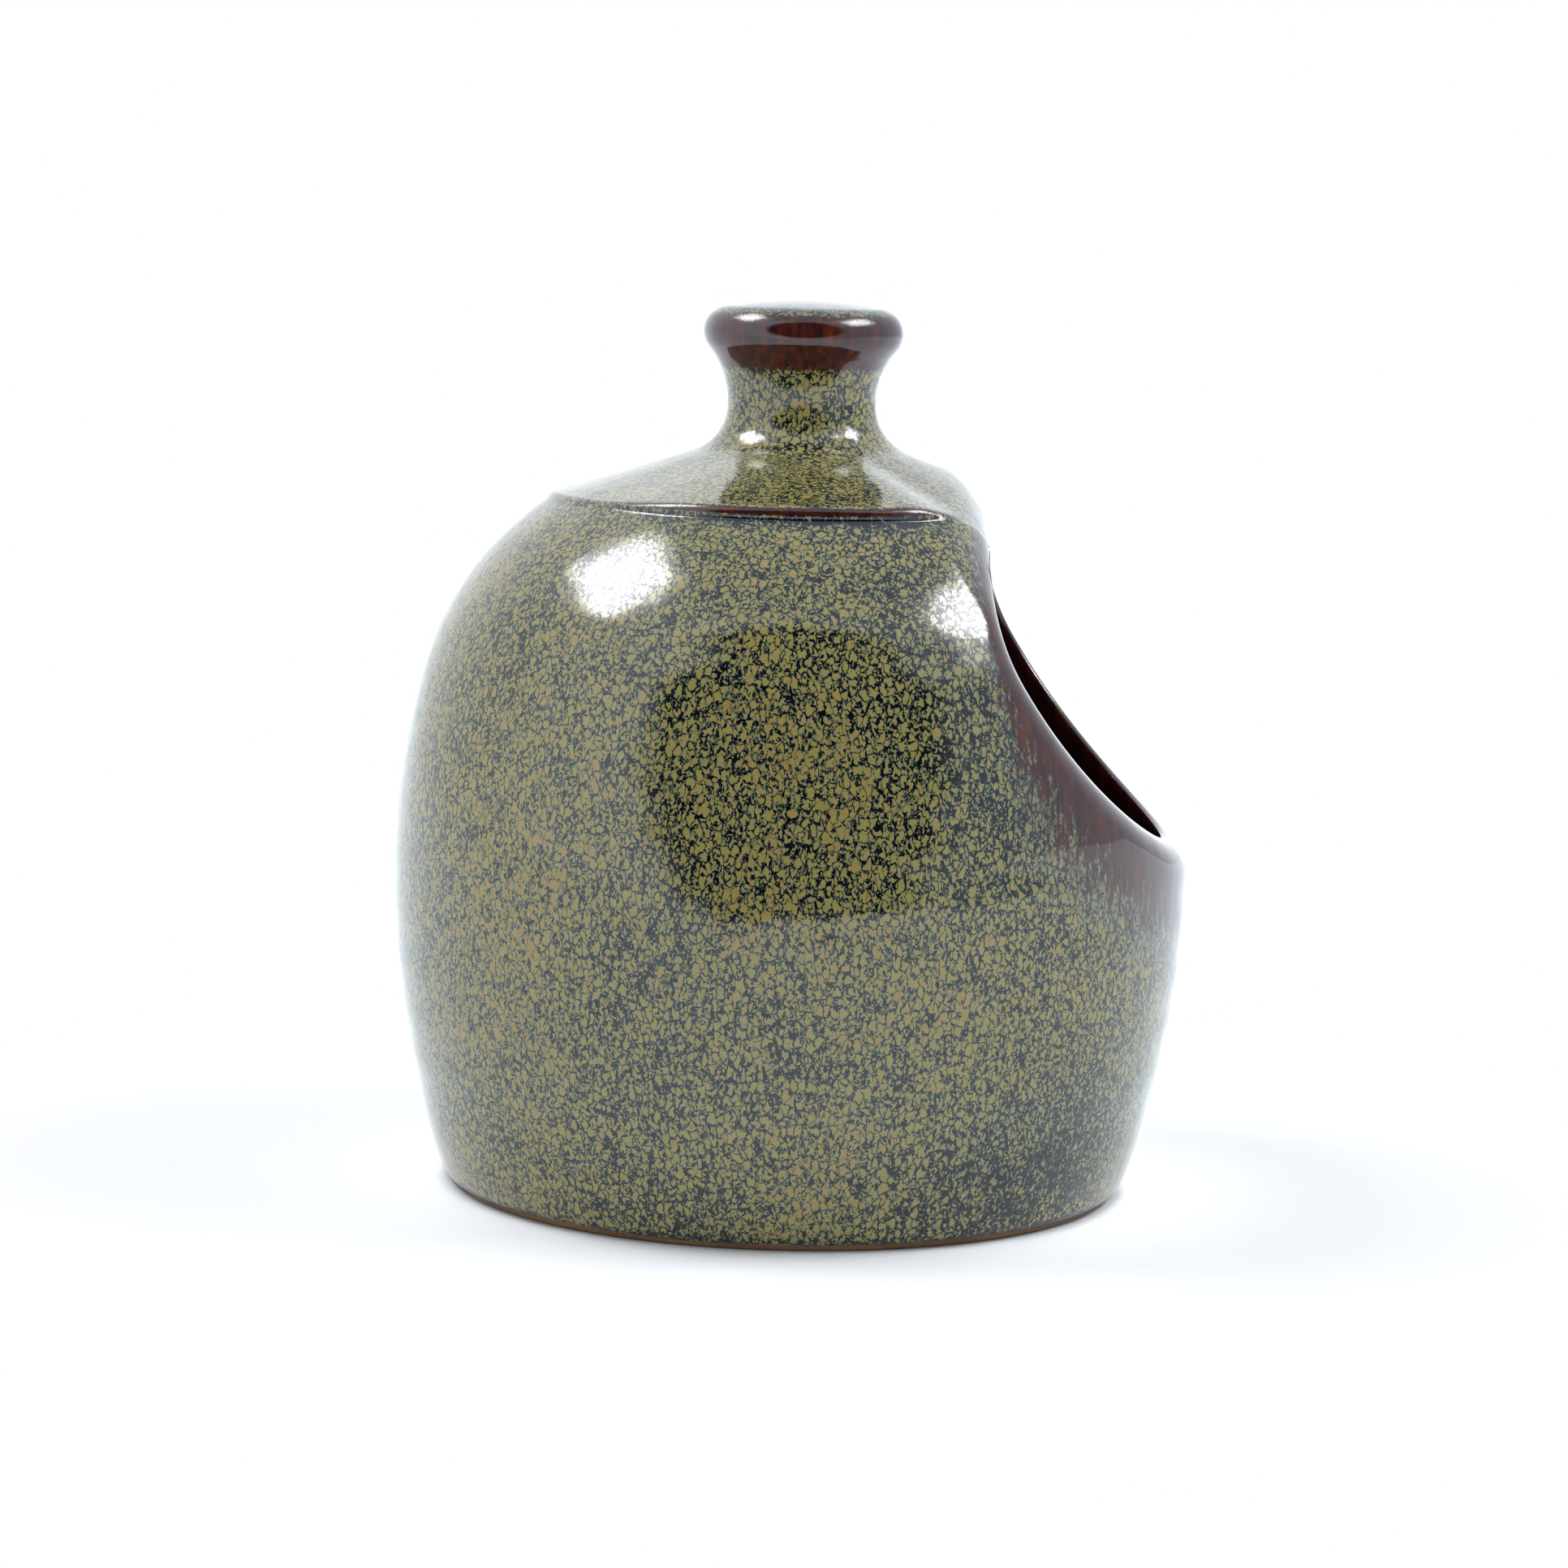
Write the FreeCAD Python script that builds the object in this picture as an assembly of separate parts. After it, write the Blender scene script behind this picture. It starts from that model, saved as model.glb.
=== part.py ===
"""Stoneware salt jar with a closed knob and a scooped side opening.

A wheel-thrown, glazed stoneware jar: a round-bellied body on a bare trimmed foot, a domed
shoulder, a solid neck and knob to lift it by, and one large scooped opening on the +X side for
a hand or a spoon.  Millimetres, +Z up, origin at the centre of the foot plane.

Each solid is one formed section of clay or one coat of glaze.  The turned outline is a chain of
tangent arcs, kept as joints (radius, height, heading in degrees), so that the same outline can
be drawn at any depth under the glaze.
"""
import FreeCAD, Part
import math
import os

# --- Turned outline, at the face of the glaze ---
HEIGHT = 156.0                 # from the foot plane to the crown of the knob
BELLY_RADIUS = 70.0
BELLY_HEIGHT = HEIGHT - 100.0
FOOT_EDGE_RADIUS = BELLY_RADIUS - 9.1     # where the wall starts to curve under
FOOT_EDGE_HEIGHT = 3.2
HAUNCH_RADIUS = BELLY_RADIUS - 4.8        # where the wall begins to close in faster
HAUNCH_HEIGHT = HEIGHT - 65.0
CREASE_RADIUS = BELLY_RADIUS - 25.4       # the wall ends in a crease under the ridge
CREASE_HEIGHT = HEIGHT - 35.1
RIDGE_START = 65.0             # heading at which the ridge leaves the crease
RIDGE_ROUND = 2.4
SHOULDER_SLOPE = 16.0          # degrees that the shoulder rises just inside the ridge
NECK_ROOT_RADIUS = 18.9
NECK_ROOT_HEIGHT = HEIGHT - 26.5
NECK_RADIUS = 13.05            # at its narrowest
NECK_HEIGHT = HEIGHT - 18.6
KNOB_RADIUS = 17.5
KNOB_HEIGHT = HEIGHT - 5.8     # height of the knob's widest point
KNOB_ROUND = 4.6

# --- Clay ---
WALL = 5.0
CEILING_HEIGHT = CREASE_HEIGHT + 1.1      # top of the inside, under the neck
CEILING_CURVE = 120.0          # radius of the shallow domed ceiling
FLOOR_TOP = 8.0
INNER_CORNER_ROUND = 7.0
FOOT_RECESS_RADIUS = FOOT_EDGE_RADIUS - 10.9
FOOT_RECESS_DEPTH = 1.6
FOOT_BEVEL = 1.0               # inward run of the bare foot's bevel
SHOULDER_SEAM_HEIGHT = CREASE_HEIGHT - 8.9    # the thrown wall ends here and the closed top begins

# --- Glaze ---
GLAZE = 0.5
LINER_REACH = 2.25             # the liner glaze meets the outer glaze this far across the rim
GLAZE_LINE_HEIGHT = 1.2        # the glaze is wiped off below this

# --- Scooped opening, symmetric about the XZ plane ---
SCOOP_TOP_X = CREASE_RADIUS - 11.3        # the cut starts straight down here
SCOOP_TOP_HEIGHT = CREASE_HEIGHT - 5.9
SCOOP_WAIST_X = SCOOP_TOP_X + 5.9         # end of the tight upper curve
SCOOP_WAIST_HEIGHT = SCOOP_TOP_HEIGHT - 21.0
SCOOP_LIP_HEIGHT = BELLY_HEIGHT + 4.8     # where the cut leaves the belly
RIM_OUTER_ROUND = 2.2
RIM_INNER_ROUND = 1.7
RIM_BAND = 8.0                 # width of the sponged and rounded rim section

CLEAR = 20.0                   # how far cutting tools reach past the jar
TOUCH = 1e-3                   # a point this close to a face lies on it


def point(radius, height):
    return FreeCAD.Vector(radius, 0.0, height)


def follow(joint, radius, height):
    """The joint at the end of the arc that leaves this joint along its heading."""
    chord = math.degrees(math.atan2(height - joint[1], radius - joint[0]))
    return radius, height, joint[2] + 2.0 * math.remainder(chord - joint[2], 360.0)


def roll(joint, radius, turn):
    """The joint after a left-hand arc of this radius through this turn."""
    start, end = math.radians(joint[2] - 90.0), math.radians(joint[2] - 90.0 + turn)
    return (joint[0] + radius * (math.cos(end) - math.cos(start)),
            joint[1] + radius * (math.sin(end) - math.sin(start)), joint[2] + turn)


def reverse(joint):
    return joint[0], joint[1], math.remainder(joint[2] + 180.0, 360.0)


def inset(joint, depth):
    """The joint moved this far to the left of its heading, into the material."""
    left = math.radians(joint[2] + 90.0)
    return joint[0] + depth * math.cos(left), joint[1] + depth * math.sin(left), joint[2]


def arc_between(start, end):
    """The arc from one joint to the next, tangent to both headings."""
    bulge = math.tan(math.radians(end[2] - start[2]) / 4.0) / 2.0
    run, rise = end[0] - start[0], end[1] - start[1]
    middle = ((start[0] + end[0]) / 2.0 + bulge * rise, (start[1] + end[1]) / 2.0 - bulge * run)
    return Part.Arc(point(*start[:2]), point(*middle), point(*end[:2])).toShape()


def arcs_along(joints):
    """Arcs from joint to joint; at a crease two joints share a place and need none."""
    pairs = zip(joints, joints[1:])
    return [arc_between(a, b) for a, b in pairs if math.dist(a[:2], b[:2]) > TOUCH]


def closed_face(arcs, corners):
    """A face inside a chain of arcs that straight lines close through the given corners."""
    ends = [arcs[-1].Vertexes[-1].Point] + [point(*corner) for corner in corners]
    ends.append(arcs[0].Vertexes[0].Point)
    lines = [Part.makeLine(a, b) for a, b in zip(ends, ends[1:])]
    return Part.Face(Part.Wire(arcs + lines))


def turned(face):
    return face.revolve(FreeCAD.Vector(), FreeCAD.Vector(0, 0, 1), 360.0)


def wall_joints():
    """The wall from the foot's edge up to the ridge."""
    belly = (BELLY_RADIUS, BELLY_HEIGHT, 90.0)
    foot_edge = reverse(follow(reverse(belly), FOOT_EDGE_RADIUS, FOOT_EDGE_HEIGHT))
    haunch = follow(belly, HAUNCH_RADIUS, HAUNCH_HEIGHT)
    return [foot_edge, belly, haunch, follow(haunch, CREASE_RADIUS, CREASE_HEIGHT)]


def meet_circle(joint, normal, centre, radius):
    """The end of the arc that leaves this joint and runs smoothly onto a circle.

    normal points from the joint to the arc's centre.  The radius is positive where the arc
    goes round the circle, and negative where it bends the other way.
    """
    gap = (joint[0] - centre[0], joint[1] - centre[1])
    along = gap[0] * normal[0] + gap[1] * normal[1]
    sweep = (radius ** 2 - gap[0] ** 2 - gap[1] ** 2) / (2.0 * (along + radius))
    hub = (joint[0] + sweep * normal[0], joint[1] + sweep * normal[1])
    reach = sweep / math.hypot(centre[0] - hub[0], centre[1] - hub[1])
    return follow(joint, hub[0] + reach * (centre[0] - hub[0]), hub[1] + reach * (centre[1] - hub[1]))


def top_joints(crease):
    """The ridge, the shoulder, the neck and the knob up to the crown."""
    start = crease[:2] + (RIDGE_START,)
    ridge = roll(start, RIDGE_ROUND, 180.0 - SHOULDER_SLOPE - RIDGE_START)
    root = follow(ridge, NECK_ROOT_RADIUS, NECK_ROOT_HEIGHT)
    neck = follow(root, NECK_RADIUS, NECK_HEIGHT)
    outward = math.radians(neck[2] - 90.0)
    knob_centre = (KNOB_RADIUS - KNOB_ROUND, KNOB_HEIGHT)
    under = meet_circle(neck, (math.cos(outward), math.sin(outward)), knob_centre, -KNOB_ROUND)
    crown = (0.0, HEIGHT, 180.0)
    over = reverse(meet_circle(reverse(crown), (0.0, -1.0), knob_centre, KNOB_ROUND))
    return [start, ridge, root, neck, under, (KNOB_RADIUS, KNOB_HEIGHT, 90.0), over, crown]


def knob_start_height():
    """Where the neck's curve runs onto the knob."""
    return top_joints(wall_joints()[-1])[4][1]


def foot_joint(foot_edge):
    """The joint on the foot plane, where the base starts to curve up to the wall."""
    lean = math.radians(foot_edge[2])
    radius = FOOT_EDGE_HEIGHT / (1.0 - math.cos(lean))
    return foot_edge[0] - radius * math.sin(lean), 0.0, 0.0


def outer_solid(depth):
    """Everything inside the outline at this depth under the glaze, from the foot plane up."""
    wall = wall_joints()
    joints = [foot_joint(wall[0])] + wall + top_joints(wall[-1])
    arcs = arcs_along([inset(joint, depth) for joint in joints])
    return turned(closed_face(arcs, [(0.0, depth)]))


def inner_solid(growth):
    """The hollow inside, grown outward into the clay by this much."""
    joints = [inset(joint, WALL - growth) for joint in wall_joints()]
    wall = turned(closed_face(arcs_along(joints), [(0.0, joints[-1][1]), (0.0, joints[0][1])]))
    above_floor = Part.makeCylinder(BELLY_RADIUS, CREASE_HEIGHT, point(0.0, FLOOR_TOP - growth))
    ceiling = Part.makeSphere(CEILING_CURVE + growth, point(0.0, CEILING_HEIGHT - CEILING_CURVE))
    hollow = wall.common(above_floor).common(ceiling)
    rings = [edge for edge in hollow.Edges if is_corner_ring(edge, FLOOR_TOP - growth)]
    return hollow.makeFillet(INNER_CORNER_ROUND + growth, rings)


def is_corner_ring(edge, floor):
    """True for the two circles where the wall meets the floor and the ceiling."""
    box = edge.BoundBox
    is_ring = box.ZLength < TOUCH < box.XLength
    on_floor = abs(box.ZMin - floor) < TOUCH
    above_haunch = box.ZMin > HAUNCH_HEIGHT + TOUCH
    return is_ring and (on_floor or above_haunch)


def scoop_tool(growth):
    """What the opening removes, grown into the clay by this much."""
    top = (SCOOP_TOP_X, SCOOP_TOP_HEIGHT, -90.0)
    waist = follow(top, SCOOP_WAIST_X, SCOOP_WAIST_HEIGHT)
    lip = follow(waist, BELLY_RADIUS, SCOOP_LIP_HEIGHT)
    fall = math.tan(math.radians(lip[2]))
    arcs = arcs_along([inset(joint, -growth) for joint in (top, waist, lip)])
    low = arcs[-1].Vertexes[-1].Point
    far, high = low.x + CLEAR, HEIGHT + CLEAR
    corners = [(far, low.z + CLEAR * fall), (far, high), (SCOOP_TOP_X - growth, high)]
    face = closed_face(arcs, corners)
    half_width = BELLY_RADIUS + CLEAR
    face.translate(FreeCAD.Vector(0.0, -half_width, 0.0))
    return face.extrude(FreeCAD.Vector(0.0, 2.0 * half_width, 0.0))


def rim_edges(shape, scoop, surface):
    """The edges of the opening that lie both on the cut and on this turned surface."""
    def on_both(edge):
        middle = Part.Vertex(edge.valueAt((edge.FirstParameter + edge.LastParameter) / 2.0))
        return all(middle.distToShape(shell)[0] < TOUCH for shell in (scoop.Shells[0], surface.Shells[0]))
    return [edge for edge in shape.Edges if on_both(edge)]


def jar_solid(depth):
    """The whole jar with its rounded opening, at this depth under every glazed face."""
    outer, inner, scoop = outer_solid(depth), inner_solid(depth), scoop_tool(depth)
    jar = outer.cut(inner).cut(scoop)
    jar = jar.makeFillet(RIM_OUTER_ROUND - depth, rim_edges(jar, scoop, outer))
    return jar.makeFillet(RIM_INNER_ROUND - depth, rim_edges(jar, scoop, inner))


def slab(low, high):
    """Everything between two heights."""
    reach = BELLY_RADIUS + CLEAR
    return Part.makeCylinder(reach, high - low, point(0.0, low))


def foot_ring():
    """The bare trimmed ring that the jar stands on, up to the foot's edge."""
    curved = outer_solid(GLAZE).common(slab(GLAZE_LINE_HEIGHT, FOOT_EDGE_HEIGHT))
    line_radius = min(curved.Faces, key=lambda face: face.CenterOfMass.z).BoundBox.XMax
    bare = Part.makeCone(line_radius - FOOT_BEVEL, line_radius, GLAZE_LINE_HEIGHT)
    recess = Part.makeCylinder(FOOT_RECESS_RADIUS, FOOT_EDGE_HEIGHT)
    return curved.fuse(bare).cut(recess).removeSplitter()


def clay_sections(clay):
    """The formed sections of clay, which meet face to face."""
    rim_zone = scoop_tool(GLAZE + RIM_BAND)
    base_height = FLOOR_TOP + INNER_CORNER_ROUND
    base_zone = Part.makeCylinder(FOOT_RECESS_RADIUS, base_height - FOOT_RECESS_DEPTH,
                                  point(0.0, FOOT_RECESS_DEPTH))
    knob_start = knob_start_height()
    shell = clay.cut(rim_zone)
    return {
        "foot_ring": foot_ring(),
        "base_disc": clay.common(base_zone),
        "body_wall": shell.common(slab(FOOT_EDGE_HEIGHT, SHOULDER_SEAM_HEIGHT)).cut(base_zone),
        "shoulder": shell.common(slab(SHOULDER_SEAM_HEIGHT, NECK_ROOT_HEIGHT)),
        "neck": shell.common(slab(NECK_ROOT_HEIGHT, knob_start)),
        "knob": shell.common(slab(knob_start, HEIGHT)),
        "opening_rim": clay.common(rim_zone),
    }


def glaze_coats(glazed, clay):
    """The speckled coat outside and the dark liner inside, which meet along the rim."""
    coat = glazed.cut(clay).common(slab(GLAZE_LINE_HEIGHT, HEIGHT + CLEAR))
    inside = inner_solid(LINER_REACH)
    return {"outer_glaze": coat.cut(inside), "liner_glaze": coat.common(inside)}


def main():
    os.makedirs("parts", exist_ok=True)
    glazed, clay = jar_solid(0.0), jar_solid(GLAZE)
    nodes = {**clay_sections(clay), **glaze_coats(glazed, clay)}
    for name, shape in nodes.items():
        shape.exportStep(f"parts/{name}.step")
        print(name, len(shape.Solids), shape.isValid(), round(shape.Volume, 1))


if __name__ == "__main__":
    main()
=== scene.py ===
import math

import bmesh
import bpy
import numpy as np
from mathutils import Matrix, Vector


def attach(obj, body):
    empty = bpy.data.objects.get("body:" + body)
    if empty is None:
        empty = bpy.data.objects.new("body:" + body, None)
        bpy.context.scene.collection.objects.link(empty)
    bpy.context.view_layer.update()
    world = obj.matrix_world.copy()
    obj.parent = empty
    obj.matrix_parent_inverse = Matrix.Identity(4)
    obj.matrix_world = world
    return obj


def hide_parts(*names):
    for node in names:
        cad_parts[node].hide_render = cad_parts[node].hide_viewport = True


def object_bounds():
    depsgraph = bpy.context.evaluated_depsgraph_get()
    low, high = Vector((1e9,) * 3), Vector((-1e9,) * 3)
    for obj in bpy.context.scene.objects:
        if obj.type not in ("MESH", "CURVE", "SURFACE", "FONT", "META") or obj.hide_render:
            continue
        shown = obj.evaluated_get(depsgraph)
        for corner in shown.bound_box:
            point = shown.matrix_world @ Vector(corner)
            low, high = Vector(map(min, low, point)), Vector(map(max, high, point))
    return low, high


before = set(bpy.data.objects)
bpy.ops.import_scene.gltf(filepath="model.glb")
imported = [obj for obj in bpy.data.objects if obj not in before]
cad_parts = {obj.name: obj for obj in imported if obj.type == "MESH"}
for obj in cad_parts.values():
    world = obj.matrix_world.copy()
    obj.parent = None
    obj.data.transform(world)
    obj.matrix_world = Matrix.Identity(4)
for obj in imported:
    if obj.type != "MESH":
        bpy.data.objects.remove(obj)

CAD_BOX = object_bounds()
MM = 0.001
BODY = "root"

# --- Turned outline in millimetres, at the face of the glaze (belly and crown from the frame) ---
BELLY_RADIUS = CAD_BOX[1].x / MM
BELLY_HEIGHT = 56.0
FOOT_EDGE_RADIUS, FOOT_EDGE_HEIGHT = 60.9, 3.2
HAUNCH_RADIUS, HAUNCH_HEIGHT = 65.2, 91.0
CREASE_RADIUS, CREASE_HEIGHT = 44.6, 120.5     # the wall ends in a crease under the ridge
CREASE_ROUND = 0.7
RIDGE_START = 78.0                             # heading at which the ridge leaves the crease
RIDGE_ROUND = 1.6
SHOULDER_SLOPE = 17.0                          # degrees that the shoulder rises inside the ridge
SOFT_RIDGE_ROUND = 4.0                         # the ridge where it melts into the opening
RIDGE_MELTS, RIDGE_SOFTENS = (47.0, 64.0), (106.0, 142.0)      # degrees round from the opening
NECK_ROOT_RADIUS, NECK_ROOT_HEIGHT = 18.9, 129.5
NECK_RADIUS, NECK_HEIGHT = 13.0, 137.4
KNOB_RADIUS, KNOB_HEIGHT, KNOB_ROUND = 17.5, 150.2, 4.6
CROWN_HEIGHT = CAD_BOX[1].z / MM

# --- Clay and glaze ---
WALL = 5.0
CEILING_HEIGHT, CEILING_CURVE = 122.0, 120.0
FLOOR_TOP = 8.0
INNER_CORNER_ROUND = 7.0
GLAZE = 0.5
GLAZE_LINE, LINE_WANDER = 1.2, 0.25            # where the glaze is wiped off, and how unevenly

# --- Scooped opening ---
SCOOP_TOP_X, SCOOP_TOP_HEIGHT = 33.3, 115.0
SCOOP_WAIST_X, SCOOP_WAIST_HEIGHT = 39.2, 94.0
SCOOP_LIP_HEIGHT = 60.8
RIM_ROUND_TOP, RIM_ROUND_SIDE = 8.5, 2.3       # the rim rolls over broadly under the shoulder
RIM_ROUND_INSIDE = 1.7
RIM_ROLL_LOW, RIM_ROLL_HIGH = 103.0, 119.0     # heights between which the rounding grows

THIN_SIDE, THIN_LIP = 1.5, 7.5                 # width of bare rust where the glaze ran off the rim
KNOB_RUST_START, KNOB_RUST_END = (142.8, 145.6), (152.2, 154.6)     # heights
RIDGE_APEX = 122.2                             # height at which the ridge stands out furthest
RIDGE_THIN_AZIMUTH = -85.0                     # the side where the ridge shows most rust
STARVED_SPOT, STARVED_SIZE = (48.0, -44.0, 12.0), (24.0, 22.0, 17.0)  # where few crystals grew

# --- Foot ---
FOOT_RECESS_RADIUS, FOOT_RECESS_DEPTH = 50.0, 1.6
FOOT_BEVEL, FOOT_CHAMFER = 1.0, 0.3            # outer bevel, and the broken inner edge
FOOT_STEP, BASE_STEP = 2.0, 0.9                # longest run of the side views' meshes
SPIRAL_PITCH, SPIRAL_DEPTH = 4.5, 0.12         # the trimming tool's spiral under the base
FOOT_LINE_RADIUS = 59.1                        # just inside the glazed face at the glaze line
CLAY_GAP = 0.02                                # keeps the clay behind the back of the glaze

# --- Hand of the potter ---
RIDGE_DIP = 0.5                                # how far the ridge wanders up and down
THROWING_RIPPLE = 0.07                         # height of the soft throwing rings
THROWING_PITCH = 9.0

# --- Mesh ---
COLUMNS = 240                                  # round the jar
WINDOW = 42                                    # columns each side of the opening that are woven
ROW_LENGTH, ROW_TURN = 2.0, 8.0                # longest row in mm, sharpest turn in degrees
WINDOW_LOW_HEIGHT, WINDOW_HIGH_RADIUS = 40.0, 24.0
WEAVE_ROWS, RIM_ROWS = 16, 14
SETTLE_STEPS = 14

# --- Studio (metres and degrees) ---
CAMERA_LENS = 105.7                            # millimetres, on a 36 mm wide sensor
CAMERA_AWAY, CAMERA_AZIMUTH, CAMERA_HEIGHT = 0.807, 1.5, 0.1723
CAMERA_PAN, CAMERA_DIP, CAMERA_ROLL = 1.6, 7.175, 1.467
LAMP_AWAY, LAMP_AIM_HEIGHT = 1.2, 0.08
FLOOR_SIZE = 2.5
FADE_START, FADE_END = 0.085, 0.19             # where the table top runs out into white
TENT_LEVEL = 0.80                              # plain light from all round, where 1 is white
TENT_IN_GLOSS = (1.85, 2.05, 2.25, 1.0)        # the cloth of the tent as the gloss shows it
BACKDROP_IN_GLOSS = (1.50, 1.60, 1.70, 1.0)
DIM_CLOTH_IN_GLOSS = (0.95, 1.10, 1.25, 1.0)   # its right side and its roof are dimmer
LAMP_WATTS, GLOSS_WATTS = 6.0, 320.0           # what lights the clay, and what its gloss shows
ROOM_AZIMUTH, ROOM_HALF_WIDTH = math.radians(3.0), math.radians(47.0)  # the dark room in front
ROOM_ELEVATION, ROOM_HALF_HEIGHT = math.radians(21.0), math.radians(36.0)
FLOOR_FRONT = -0.43
FLOOR_COLOUR = "#E6EAF0"


# ---------------------------------------------------------------- turned outlines

def follow(joint, radius, height):
    """The joint (radius, height, heading) at the end of the arc that leaves this joint."""
    chord = math.degrees(math.atan2(height - joint[1], radius - joint[0]))
    return radius, height, joint[2] + 2.0 * math.remainder(chord - joint[2], 360.0)


def roll(joint, radius, turn):
    """The joint after an arc of this radius; a negative radius and turn bend to the right."""
    start, end = math.radians(joint[2] - 90.0), math.radians(joint[2] - 90.0 + turn)
    return (joint[0] + radius * (math.cos(end) - math.cos(start)),
            joint[1] + radius * (math.sin(end) - math.sin(start)), joint[2] + turn)


def reverse(joint):
    return joint[0], joint[1], math.remainder(joint[2] + 180.0, 360.0)


def meet_circle(joint, normal, centre, radius):
    """The end of the arc that leaves this joint and runs smoothly onto a circle."""
    gap = (joint[0] - centre[0], joint[1] - centre[1])
    along = gap[0] * normal[0] + gap[1] * normal[1]
    sweep = (radius ** 2 - gap[0] ** 2 - gap[1] ** 2) / (2.0 * (along + radius))
    hub = (joint[0] + sweep * normal[0], joint[1] + sweep * normal[1])
    reach = sweep / math.hypot(centre[0] - hub[0], centre[1] - hub[1])
    return follow(joint, hub[0] + reach * (centre[0] - hub[0]), hub[1] + reach * (centre[1] - hub[1]))


def wall_joints():
    """The wall from the foot's edge up to the crease."""
    belly = (BELLY_RADIUS, BELLY_HEIGHT, 90.0)
    foot_edge = reverse(follow(reverse(belly), FOOT_EDGE_RADIUS, FOOT_EDGE_HEIGHT))
    haunch = follow(belly, HAUNCH_RADIUS, HAUNCH_HEIGHT)
    return [foot_edge, belly, haunch, follow(haunch, CREASE_RADIUS, CREASE_HEIGHT)]


def top_joints(ridge):
    """The shoulder, the neck and the knob up to the crown."""
    root = follow(ridge, NECK_ROOT_RADIUS, NECK_ROOT_HEIGHT)
    neck = follow(root, NECK_RADIUS, NECK_HEIGHT)
    outward = math.radians(neck[2] - 90.0)
    knob_centre = (KNOB_RADIUS - KNOB_ROUND, KNOB_HEIGHT)
    under = meet_circle(neck, (math.cos(outward), math.sin(outward)), knob_centre, -KNOB_ROUND)
    crown = (0.0, CROWN_HEIGHT, 180.0)
    over = reverse(meet_circle(reverse(crown), (0.0, -1.0), knob_centre, KNOB_ROUND))
    return [ridge, root, neck, under, (KNOB_RADIUS, KNOB_HEIGHT, 90.0), over, crown]


def outline(crisp):
    """The whole outline from the axis under the foot to the crown.

    A crisp one has the crease and the ridge, and a soft one has a rounded shoulder instead.
    """
    wall = wall_joints()
    lean = math.radians(wall[0][2])
    foot_round = FOOT_EDGE_HEIGHT / (1.0 - math.cos(lean))
    foot = (wall[0][0] - foot_round * math.sin(lean), 0.0, 0.0)
    rise = 180.0 - SHOULDER_SLOPE
    if crisp:
        start = roll(wall[-1], -CREASE_ROUND, RIDGE_START - wall[-1][2])
        top = [start] + top_joints(roll(start, RIDGE_ROUND, rise - RIDGE_START))
    else:
        top = top_joints(roll(wall[-1], SOFT_RIDGE_ROUND, rise - wall[-1][2]))
    return [(0.0, 0.0, 0.0), foot] + wall + top


def scoop_line():
    """The side view (x, z) of the scoop, from far above, down and out past the lip."""
    top = (SCOOP_TOP_X, SCOOP_TOP_HEIGHT, -90.0)
    waist = follow(top, SCOOP_WAIST_X, SCOOP_WAIST_HEIGHT)
    lip = follow(waist, BELLY_RADIUS, SCOOP_LIP_HEIGHT)
    beyond = math.radians(lip[2])
    end = (lip[0] + BELLY_RADIUS * math.cos(beyond), lip[1] + BELLY_RADIUS * math.sin(beyond), lip[2])
    return [(SCOOP_TOP_X, 2.0 * CROWN_HEIGHT, -90.0), top, waist, lip, end]


def bow(start, end):
    """The signed radius of the arc between two joints, or None where it is a straight line."""
    turn = math.radians(end[2] - start[2])
    if abs(turn) < 1e-6:
        return None
    return math.dist(start[:2], end[:2]) / (2.0 * math.sin(turn / 2.0))


def side_distance(joints, across, up):
    """Distance from a chain of tangent arcs, negative on its left-hand side."""
    best = np.full(across.shape, 1e9)
    for start, end in zip(joints, joints[1:]):
        radius = bow(start, end)
        heading = math.radians(start[2])
        if radius is None:
            step = (across - start[0], up - start[1])
            along = step[0] * math.cos(heading) + step[1] * math.sin(heading)
            near = (along > -1e-6) & (along < math.dist(start[:2], end[:2]) + 1e-6)
            signed = step[0] * math.sin(heading) - step[1] * math.cos(heading)
        else:
            side = math.copysign(1.0, radius)
            hub = (start[0] - radius * math.sin(heading), start[1] + radius * math.cos(heading))
            angle = np.arctan2(up - hub[1], across - hub[0])
            swept = np.mod((angle - heading) * side + math.pi / 2.0 + 1e-6, 2.0 * math.pi)
            near = swept < abs(math.radians(end[2] - start[2])) + 2e-6
            signed = side * (np.hypot(across - hub[0], up - hub[1]) - abs(radius))
        closer = near & (np.abs(signed) < np.abs(best))
        best = np.where(closer, signed, best)
    return best


def sample_chain(joints, counts):
    """Points along a chain of tangent arcs, this many steps on each arc."""
    points = [joints[0][:2]]
    for (start, end), count in zip(zip(joints, joints[1:]), counts):
        radius = bow(start, end)
        for step in range(1, count + 1):
            share = step / count
            if radius is None:
                points.append(tuple(a + share * (b - a) for a, b in zip(start[:2], end[:2])))
            else:
                points.append(roll(start, radius, share * (end[2] - start[2]))[:2])
    return np.array(points)


# ---------------------------------------------------------------- the glazed shape

CRISP, SOFT, SCOOP = outline(True), outline(False), scoop_line()
WALL_ONLY = wall_joints()


def smooth_step(value, low, high):
    share = np.clip((value - low) / (high - low), 0.0, 1.0)
    return share * share * (3.0 - 2.0 * share)


def round_max(first, second, radius):
    """The larger of two distances, with the edge between them rounded to this radius."""
    corner = np.hypot(np.maximum(first + radius, 0.0), np.maximum(second + radius, 0.0))
    return np.minimum(np.maximum(first, second), -radius) + corner


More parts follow.
